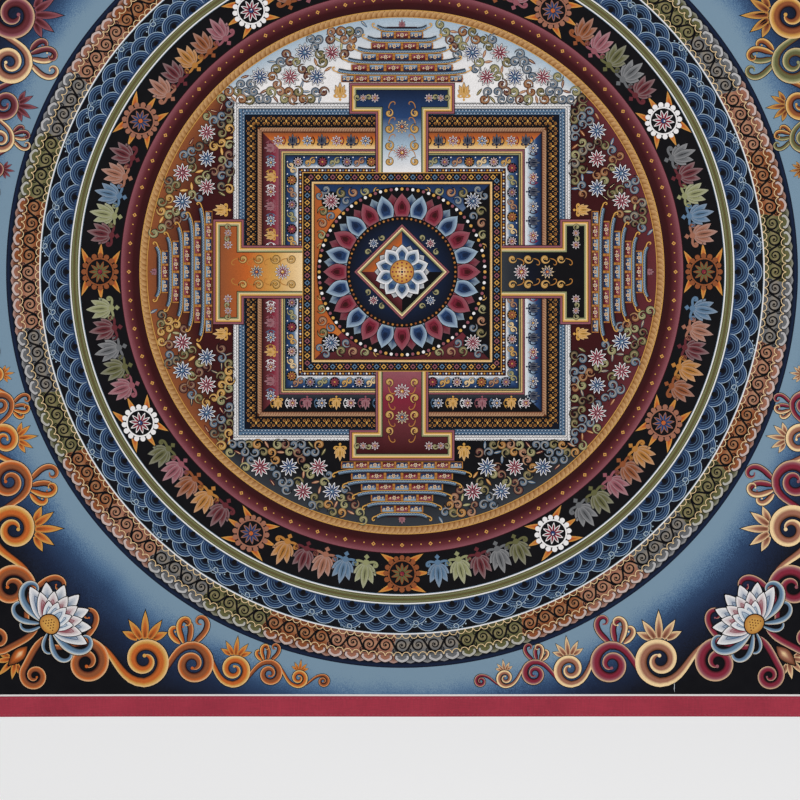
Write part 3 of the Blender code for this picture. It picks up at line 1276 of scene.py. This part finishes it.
# How far things are from the picture's middle, along the diagonal
LOTUS_OUT = 443.0
STEMS_OUT = 452.0
BUD_OUT = 469.0
OUTER_CURL_OUT = 484.0
FLAMES_OUT = 488.0
FIRST_STEM = complex(8, STEMS_OUT)
OUTER_STEM = complex(4.5, STEMS_OUT)
CLOUD_COLOURS = (  # lower left, lower right, upper right and upper left
    (("oxblood", "copper", "orange"), ("brown", "orange", "gold")),
    (("oxblood", "crimson", "rose"), ("brown", "terracotta", "cream")),
    (("brown", "khaki", "sage"), ("oxblood", "copper", "gold")),
    (("oxblood", "terracotta", "cream"), ("oxblood", "maroon", "rose")),
)
Branch = namedtuple("Branch", "lean back length winding")  # back and length in radii of its curl
BRANCHES = (
    Branch(-1.0, 0.75, 1.5, 5.2),
    Branch(0.15, 0.35, 2.1, -5.0),
    Branch(-0.5, 0.55, 2.2, 5.2),
    Branch(0.75, 0.15, 2.6, -5.6),
)
LeafStem = namedtuple("LeafStem", "start heading length winding")
LEAF_STEMS = (
    LeafStem(4 - 5j, -1.3, 30, 4.2),
    LeafStem(6 - 4j, -0.75, 46, 4.4),
    LeafStem(5 - 2j, -0.15, 60, 4.4),
)
PetalRow = namedtuple("PetalRow", "tall wide leans tones")  # leans run from the outermost petals in
PETAL_ROWS = (
    PetalRow(39.0, 17.0, (-1.25, 1.25, -0.85, 0.85, -0.42, 0.42, 0.0), ("blue", "steel", "white")),
    PetalRow(31.0, 14.5, (-1.05, 1.05, -0.63, 0.63, -0.21, 0.21), ("crimson", "rose", "white")),
    PetalRow(22.0, 12.0, (-0.8, 0.8, -0.4, 0.4, 0.0), ("blue", "mist", "white")),
)


def flames(pen, size, tones):
    """A fan of pointed flames, the middle one longest."""
    for lean, length in ((1.15, 0.75), (-1.15, 0.75), (0.6, 1.0), (-0.6, 1.0), (0.0, 1.25)):
        outline = petal_outline(size * 0.36, size * length, 12, 1.3, 0.6)
        flame = pen.moved(-0.28 * size * lean, lean)
        flame.patch(outline * 1.08, "ink", 2.4 - abs(lean) / 2)
        flame.blob(outline, tones, 2.5 - abs(lean) / 2, 0.1j * size)


def cloud_bank(pen, colours):
    """Scrolling ribbons of cloud along the picture's edge, each growing out of the one before."""
    centres = []
    for curl in CLOUD_CURLS:
        inset = (curl.radius * 1.27 + EDGE) * math.sqrt(2)
        centres.append(complex(curl.across, CORNER - curl.across - inset))
    ways = np.gradient(centres)
    ways = ways / np.abs(ways)
    start, leaving = FIRST_STEM, 1 + 0.6j
    for number, (curl, centre, way) in enumerate(zip(CLOUD_CURLS, centres, ways)):
        wind = -1 if number % 2 else 1
        size = curl.radius
        body, other = colours[number % 2], colours[1 - number % 2]
        line = winding_in(start, leaving, centre, size, way, wind, 56)
        ribbon(pen, line, size * 0.5, body, 5 - 0.2 * number, (0.25, 0.65))
        towards_ring = -1j * way
        root = centre + towards_ring * size
        if wind < 0:
            foot = root - 0.05 * towards_ring * size
            flames(pen.moved(foot, np.angle(towards_ring) - TURN / 4), size, body)
        elif size > SMALLEST_BRANCHED:
            for i, branch in enumerate(BRANCHES):
                foot = root - way * size * branch.back
                heading = np.angle(towards_ring) + branch.lean
                line = vine(foot, heading, size * branch.length, 0.0, branch.winding, 38)
                ribbon(pen, line, size * 0.27, (other, body)[i % 2], 1.2 + 0.7 * i, (0.2, 0.5))
        start, leaving = centre - wind * 1j * way * size, way
    centre = complex(OUTER_CURL.across, OUTER_CURL_OUT)
    line = winding_in(OUTER_STEM, 1j, centre, OUTER_CURL.radius, np.exp(1.3j), -1, 56)
    ribbon(pen, line, OUTER_CURL.radius * 0.5, colours[0], 3.5, (0.05, 0.6))


def bud(pen, colours):
    """A bud that points into the picture's corner, with flames behind it."""
    flames(pen.moved(1j * FLAMES_OUT), 15.0, colours)
    outline = petal_outline(13.0, 26.0, 16, 1.0, 0.05)
    here = pen.moved(1j * BUD_OUT)
    here.blob(outline, "ink", 3, 12j)
    here.blob(12j + (outline - 12j) * 0.88, ("cream", colours[1], colours[0]), 3.2, 10j)


def corner_lotus(pen):
    """A lotus seen from the side, open towards the picture's middle, with three curling leaves a side."""
    for half in pen.both():
        for number, stem in enumerate(LEAF_STEMS):
            line = vine(stem.start, stem.heading, stem.length, 0.4, stem.winding, 42)
            ribbon(half, line, stem.length * 0.105, ("slate", "steel", "mist"), 6 + 0.7 * number, (0.3, 0.6))
    for number, row in enumerate(PETAL_ROWS):
        tall = row.tall
        outline = petal_outline(row.wide, tall, 14, 0.85, 0.3)
        vein = petal_outline(row.wide * 0.45, tall * 0.62, 9, 0.9, 0.4)
        for lean in row.leans:
            petal = pen.moved(0, -lean)
            layer = 9.5 + 2.5 * number - abs(lean) + 0.1 * (lean > 0)
            petal.blob(outline, "ink", layer, 0.45j * tall)
            petal.blob(0.02j * tall + outline * 0.94, row.tones, layer + 0.3, 0.25j * tall)
            petal.stroke(0.12j * tall + vein, 0.5, row.tones[0], layer + 0.5)
    cup = 10.0 * round_points(40)
    cup = cup.real + 1j * np.where(cup.imag < 0, 0.75, 1.0) * cup.imag
    pen.blob(cup, "ink", 15.5, 0)
    pen.blob(cup * 0.9, ("gold", "gold", "ochre"), 15.8, 0)
    for row, many in enumerate((5, 4, 3, 2)):
        for i in range(many):
            pen.dot(complex((i - (many - 1) / 2) * 2.9, 2.0 * row - 1.2), 0.65, "brown", 16.2, 7)


SCRATCH = (241.6 - 364.6j, 241.9 - 367.0j, 241.7 - 370.1j, 242.1 - 373.2j)  # through to the white ground


def corner_clouds(pen):
    """Clouds, a lotus and a bud in each corner, and the scratch at the foot of the picture."""
    for quarter, colours in enumerate(CLOUD_COLOURS):
        here = pen.moved(0, TURN * (3 / 8 + quarter / 4))
        for half in here.both():
            cloud_bank(half, colours)
        corner_lotus(here.moved(1j * LOTUS_OUT, TURN / 2))
        bud(here, colours[1])
    for paint, width, layer in (("mist", 0.5, 7), ("white", 0.25, 8)):
        pen.stroke(SCRATCH, width, paint, layer, (0.3, 0.3))


# ---- the canvas
GROUND_REACH = 100.0  # from the rings to where the ground is black, in millimetres
GROUND_STOPS = (
    (0.13, "6a8192"),
    (0.24, "486482"),
    (0.34, "293e5c"),
    (0.52, "18233a"),
    (0.74, "0f111b"),
    (0.90, "0a0a0e"),
)
WHITE_GROUND = linear("c9c3c2")  # what the cloth is primed with
CANVAS_CELL = 6.0


def ground_paint():
    """The painted ground: pale blue by the rings, stippled deeper and deeper to black in the corners."""
    nodes = Nodes("painted_ground")
    middle = (0, 0, MIDDLE_DROP)
    place = nodes.add("ShaderNodeVectorMath", {0: nodes.places, 1: middle}, operation="ADD").outputs[0]
    away = nodes.add("ShaderNodeVectorMath", {0: place}, operation="LENGTH").outputs["Value"]
    hand_shading = nodes.between(nodes.noise(16, 3), 0.3, 0.7, -4 * MM, 4 * MM)
    dots = nodes.between(nodes.noise(STIPPLE, 2, roughness=0.8), 0.3, 0.7, -9 * MM, 9 * MM)
    away = nodes.maths("ADD", away, nodes.maths("ADD", hand_shading, dots))
    share = nodes.between(away, RIM.outer * MM, (RIM.outer + GROUND_REACH) * MM, 0, 1)
    nodes.set(Base_Color=nodes.ramp(share, GROUND_STOPS))
    painted_surface(nodes)
    return nodes.material


def bare_canvas():
    """The unpainted back: plain cotton, darkened in patches by the size and chalk that came through. Its
    colour also carries painted shade in the weave's hollows and a painted highlight on the thread crowns.
    """
    nodes = Nodes("bare_canvas")
    patches = nodes.between(nodes.noise(9, 4), 0.35, 0.68, 0, 1)
    cloth = nodes.mixed(patches, linear("d9cdb4"), linear("c3b597"))
    threads = nodes.between(nodes.stretched_noise(900, (1, 1, 0.05)), 0.35, 0.65, 0.88, 1.08)
    weave = nodes.weave(CANVAS_PITCH)
    # Painted shade and highlight: the cotton's colour is dimmed where the weave dips and lifted a little on
    # the thread crowns, times the threads' own uneven tone
    thread_tone_and_weave_shade = nodes.maths("MULTIPLY", threads, nodes.between(weave, 0, 0.8, 0.72, 1.05))
    nodes.set(Base_Color=nodes.dimmed(cloth, thread_tone_and_weave_shade), Specular_IOR_Level=0.15)
    nodes.set(Roughness=nodes.between(patches, 0, 1, 0.95, 0.8))
    nodes.set(Normal=nodes.bump(weave, depth=0.25 * MM, strength=0.8))
    return nodes.material


def add_piece(name, mesh):
    """Makes a mesh one of the part's pieces, attached to its root."""
    piece = new_object(name, mesh)
    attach(piece, "root")
    return piece


def canvas_piece():
    """The cloth itself, closed all round: painted in front, white at its margin and bare behind."""
    side = CANVAS_SIDE / 2 / MM
    lines = np.concatenate([[-side], np.linspace(-HALF, HALF, round(2 * HALF / CANVAS_CELL) + 1), [side]])
    many = len(lines)
    across, up = np.meshgrid(lines * MM, lines * MM)
    drop = MIDDLE_DROP - up
    forward = forward_at(across, drop)
    lifts = (CANVAS_THICKNESS / 2, -CANVAS_THICKNESS / 2)  # of the front and the back
    places = [np.stack([across, -forward - lift, -drop], -1).reshape(-1, 3) for lift in lifts]
    grid = np.arange(many * many).reshape(many, many)
    behind = many * many  # from a point in front to the one behind it
    front_faces = grid_faces(grid)
    back_faces = front_faces[:, ::-1] + behind
    rim = np.concatenate([grid[0, :-1], grid[:-1, -1], grid[-1, :0:-1], grid[:0:-1, 0]])
    after = np.roll(rim, -1)
    rim_faces = np.stack([rim, rim + behind, after + behind, after], -1)

    faces = np.concatenate([front_faces, back_faces, rim_faces]).tolist()
    looks = (ground_paint(), flat_paint("white_ground", WHITE_GROUND), bare_canvas())
    painted, white, bare = range(len(looks))
    mesh = new_mesh("canvas", np.concatenate(places), faces, looks)
    front_slots = np.full((many - 1, many - 1), painted)
    front_slots[[0, -1], :] = white
    front_slots[:, [0, -1]] = white
    slots = [*front_slots.ravel(), *[bare] * len(back_faces), *[white] * len(rim_faces)]
    mesh.polygons.foreach_set("material_index", slots)
    mesh.shade_smooth()
    mesh.set_sharp_from_angle(angle=math.radians(40))
    canvas = add_piece("canvas", mesh)
    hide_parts("painted_canvas")
    return canvas


# ---- the crimson strips
MITRE_SETBACK = 0.06 * MM  # the sewn edges and the mitres all but touch
STRIP_INSIDE = CANVAS_SIDE / 2 + MITRE_SETBACK
STRIP_OUTSIDE = OVERALL_SIDE / 2
STRIP_STEP = 2.0 * MM
STRIP_LINES = 6  # along each face of a strip
ROUNDING = 5  # corners of each rounded edge
STRIP_PITCH = 0.42 * MM  # from one thread to the next
STITCH_PITCH = 4.2 * MM
STITCH_LENGTH = 2.5 * MM
STITCH_RADIUS = 0.22 * MM
STITCH_INSET = 2.0 * MM
STITCH_ENDS_FREE = 3 * MM  # of the mitres
STITCH_ROWS = ((-1.0, 0.25), (-0.6, 0.9), (0.6, 0.9), (1.0, 0.25))  # places along it, and its thickness
STITCH_CORNERS = 5
STITCH_PROUD = 0.06 * MM  # how far its middle line lies over the strip
STITCH_DIP = 0.16 * MM  # how far its ends go down from there
LONG_PUCKER = 11.3 * MM
SHORT_PUCKER = 7.1 * MM
PUCKER_DEPTH = 0.07 * MM


def crimson_cloth():
    """Plain-woven crimson cotton: fine threads, a little uneven in colour, with a soft sheen. Its colour also
    carries painted shade in the weave's hollows and a painted highlight on the thread crowns.
    """
    nodes = Nodes("crimson_cloth")
    weave = nodes.weave(STRIP_PITCH)
    patches = nodes.between(nodes.noise(30, 4), 0.3, 0.7, 0, 1)
    slubs = 0.0
    for stretch in ((0.06, 1, 1), (1, 1, 0.06)):
        slubs = nodes.maths("MULTIPLY_ADD", nodes.stretched_noise(1600, stretch), 0.5, slubs)
    threads = nodes.between(slubs, 0.36, 0.64, 0.86, 1.12)
    # Painted shade and highlight: the cloth's colour is dimmed where the weave dips and lifted a little on
    # the thread crowns, times the threads' own uneven tone
    thread_tone_and_weave_shade = nodes.maths("MULTIPLY", threads, nodes.between(weave, 0, 0.8, 0.72, 1.08))
    cloth = nodes.mixed(patches, linear("992f40"), linear("8c293a"))
    nodes.set(Base_Color=nodes.dimmed(cloth, thread_tone_and_weave_shade), Specular_IOR_Level=0.15)
    nodes.set(Roughness=nodes.between(threads, 0.84, 1.12, 0.62, 0.8))
    nodes.set(Normal=nodes.bump(weave, depth=0.12 * MM, strength=0.7))
    nodes.set(Sheen_Weight=0.06, Sheen_Roughness=0.4)
    return nodes.material


def thread():
    """Crimson sewing thread, with its strands in two tones."""
    nodes = Nodes("crimson_thread")
    strands = nodes.noise(2600, 2)
    nodes.set(Base_Color=nodes.mixed(strands, linear("7a2430"), linear("a8505a")))
    nodes.set(Roughness=nodes.between(strands, 0.3, 0.7, 0.45, 0.7))
    nodes.set(Normal=nodes.bump(strands, depth=0.05 * MM, strength=0.6))
    return nodes.material


def on_strip(out, along, side, above):
    """Places on a strip at a distance out from the middle and along its side, lifted towards the viewer."""
    place = (along + 1j * out) * (-1j) ** side
    drop = MIDDLE_DROP - place.imag
    lift = above + pucker(out, along, side)
    return np.stack([place.real, -forward_at(place.real, drop) - lift, -drop], -1)


def pucker(out, along, side):
    """The strip's own unevenness: it draws in a little between its stitches and swells along its fold."""
    across = (out - STRIP_INSIDE) / (STRIP_OUTSIDE - STRIP_INSIDE)
    belly = np.sin(np.clip(across, 0, 1) * TURN / 2)
    drawn = np.sin(TURN * along / LONG_PUCKER + side) + 0.6 * np.sin(TURN * along / SHORT_PUCKER + 2 * side)
    return PUCKER_DEPTH * belly * drawn


def tube_faces(first, rows, around):
    """Faces of a tube, closed at both ends, whose points count up from the first, row by row."""
    grid = first + np.arange(rows * around).reshape(rows, around)
    after = np.roll(grid, -1, axis=1)
    sides = np.stack([grid[:-1], grid[1:], after[1:], after[:-1]], -1).reshape(-1, 4)
    return [*sides.tolist(), grid[0].tolist(), grid[-1][::-1].tolist()]


def strip_piece(side, name, cloth):
    """A folded strip along one side, mitred at its ends and rounded along its edges."""
    radius = STRIP_THICKNESS / 2
    flat = np.linspace(STRIP_INSIDE + radius, STRIP_OUTSIDE - radius, STRIP_LINES)
    edge = radius * np.exp(-1j * np.linspace(-TURN / 4, TURN / 4, ROUNDING))
    front = flat[:-1] + 1j * radius
    back = flat[-2:0:-1] - 1j * radius
    section = np.concatenate([front, flat[-1] + edge, back, flat[0] - edge[:-1]])  # out, and 1j * lift
    many = round(2 * STRIP_OUTSIDE / STRIP_STEP)
    along = np.linspace(-1, 1, many)[:, None] * (section.real - MITRE_SETBACK)
    places = on_strip(section.real, along, side, section.imag)
    mesh = new_mesh(name, places.reshape(-1, 3), tube_faces(0, many, len(section)), [cloth])
    mesh.shade_smooth()
    mesh.set_sharp_from_angle(angle=math.radians(60))
    piece = add_piece(name, mesh)
    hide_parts(name.replace("cloth_", ""))
    return piece


def stitch(start, out, side, face):
    """Rows of points round one stitch, which dips into the cloth at its ends."""
    ring = round_points(STITCH_CORNERS)
    lean = uneven(0.05 * MM)
    for reach, thick in STITCH_ROWS:
        above = STRIP_THICKNESS / 2 + STITCH_PROUD - STITCH_DIP * abs(reach) ** 3
        outs = out + lean * reach + STITCH_RADIUS * thick * ring.real
        lifts = face * above + STITCH_RADIUS * thick * ring.imag
        yield on_strip(outs, start + reach * STITCH_LENGTH / 2, side, lifts)


def seam_stitches():
    """Running stitches along both edges of every strip, seen in front and behind."""
    places = []
    for side in SIDES:
        for out in (STRIP_INSIDE + STITCH_INSET, STRIP_OUTSIDE - STITCH_INSET):
            many = int(2 * (out - STITCH_ENDS_FREE) / STITCH_PITCH)
            starts = (np.arange(many) - (many - 1) / 2) * STITCH_PITCH
            for face, shown in ((1, starts), (-1, starts[:-1] + STITCH_PITCH / 2)):
                for start in shown:
                    places += stitch(start, out, side, face)
    faces = []
    each = len(STITCH_ROWS) * STITCH_CORNERS
    for number in range(len(places) // len(STITCH_ROWS)):
        faces += tube_faces(number * each, len(STITCH_ROWS), STITCH_CORNERS)
    mesh = new_mesh("seam_stitches", np.concatenate(places), faces, [thread()])
    mesh.shade_smooth()
    add_piece("seam_stitches", mesh)


# ---- studio
PICTURE_PIXELS = 844  # the picture's whole width at the photograph's scale
PIXEL = 2 * HALF / PICTURE_PIXELS  # millimetres to a pixel
FRAME = 800  # the photograph's side, in pixels
MIDDLE_PIXEL = (402, 272)  # where the rings' centre is seen
CAMERA_DISTANCE = 3.0
SENSOR = 36.0
Lamp = namedtuple("Lamp", "name place power size")
LAMPS = (
    Lamp("key_light", (1.7, -2.2, 0.4), 31, 1.6),
    Lamp("fill_light", (-1.9, -2.1, 0.2), 17, 1.8),
)
SKY_COLOUR = (0.93, 0.93, 0.94, 1)
SKY_STRENGTH = 0.70
STAGE_REACH = 14.0
STAGE_BELOW = 0.25  # how far the floor lies under the scroll


def camera():
    """A long lens that frames the scroll as the photograph does."""
    lens = bpy.data.cameras.new("camera")
    lens.sensor_width = SENSOR
    lens.lens = SENSOR * CAMERA_DISTANCE / (FRAME * PIXEL * MM)
    seen = new_object("camera", lens)
    across = (FRAME / 2 - MIDDLE_PIXEL[0]) * PIXEL * MM
    drop = MIDDLE_DROP + (FRAME / 2 - MIDDLE_PIXEL[1]) * PIXEL * MM
    seen.location = (across, -CAMERA_DISTANCE, -drop)
    seen.rotation_euler = (TURN / 4, 0, 0)
    bpy.context.scene.camera = seen


def lights():
    """An even sky, and two soft lamps that aim at the picture's middle."""
    world = bpy.data.worlds.new("studio")
    world.use_nodes = True
    world.node_tree.nodes["Background"].inputs["Color"].default_value = SKY_COLOUR
    world.node_tree.nodes["Background"].inputs["Strength"].default_value = SKY_STRENGTH
    bpy.context.scene.world = world
    for lamp in LAMPS:
        area = bpy.data.lights.new(lamp.name, "AREA")
        area.energy = lamp.power
        area.size = lamp.size
        light = new_object(lamp.name, area)
        light.location = lamp.place
        aim = np.array([0, 0, -MIDDLE_DROP]) - np.array(lamp.place)
        light.rotation_euler = (math.acos(-aim[2] / np.linalg.norm(aim)), 0, math.atan2(-aim[0], aim[1]))


def studio_floor():
    """A pale floor under the scroll, for the render only."""
    low = -OVERALL_SIDE - STAGE_BELOW
    corners = [(x * STAGE_REACH, y * STAGE_REACH, low) for x, y in ((-1, -1), (1, -1), (1, 1), (-1, 1))]
    nodes = Nodes("studio_floor")
    nodes.set(Base_Color=(0.9, 0.9, 0.9, 1), Roughness=0.9)
    nodes.set(Emission_Color=(1, 1, 1, 1), Emission_Strength=0.16)
    ground = new_object("floor", new_mesh("floor", corners, [(0, 1, 2, 3)], [nodes.material]))


PAINTED_PIECES = (
    ("petal_ring", petal_ring),
    ("wave_ring", wave_ring),
    ("olive_ring", olive_ring),
    ("black_ring", black_ring),
    ("maroon_ring", maroon_ring),
    ("rope_ring", rope_ring),
    ("flower_field", flower_field),
    ("court", court),
    ("gates", gates),
    ("inner_court", inner_court),
    ("corner_clouds", corner_clouds),
)


def main():
    canvas = canvas_piece()
    for name, paint_on in PAINTED_PIECES:
        layers = Layers(name)
        paint_on(Pen(layers))
        add_piece(name, layers.mesh())
    cloth = crimson_cloth()
    for number, name in enumerate(("top_strip", "right_strip", "bottom_strip", "left_strip")):
        strip = strip_piece(number, "cloth_" + name, cloth)
    seam_stitches()
    bpy.context.scene.view_settings.view_transform = "Standard"
    camera()
    lights()
    studio_floor()


main()
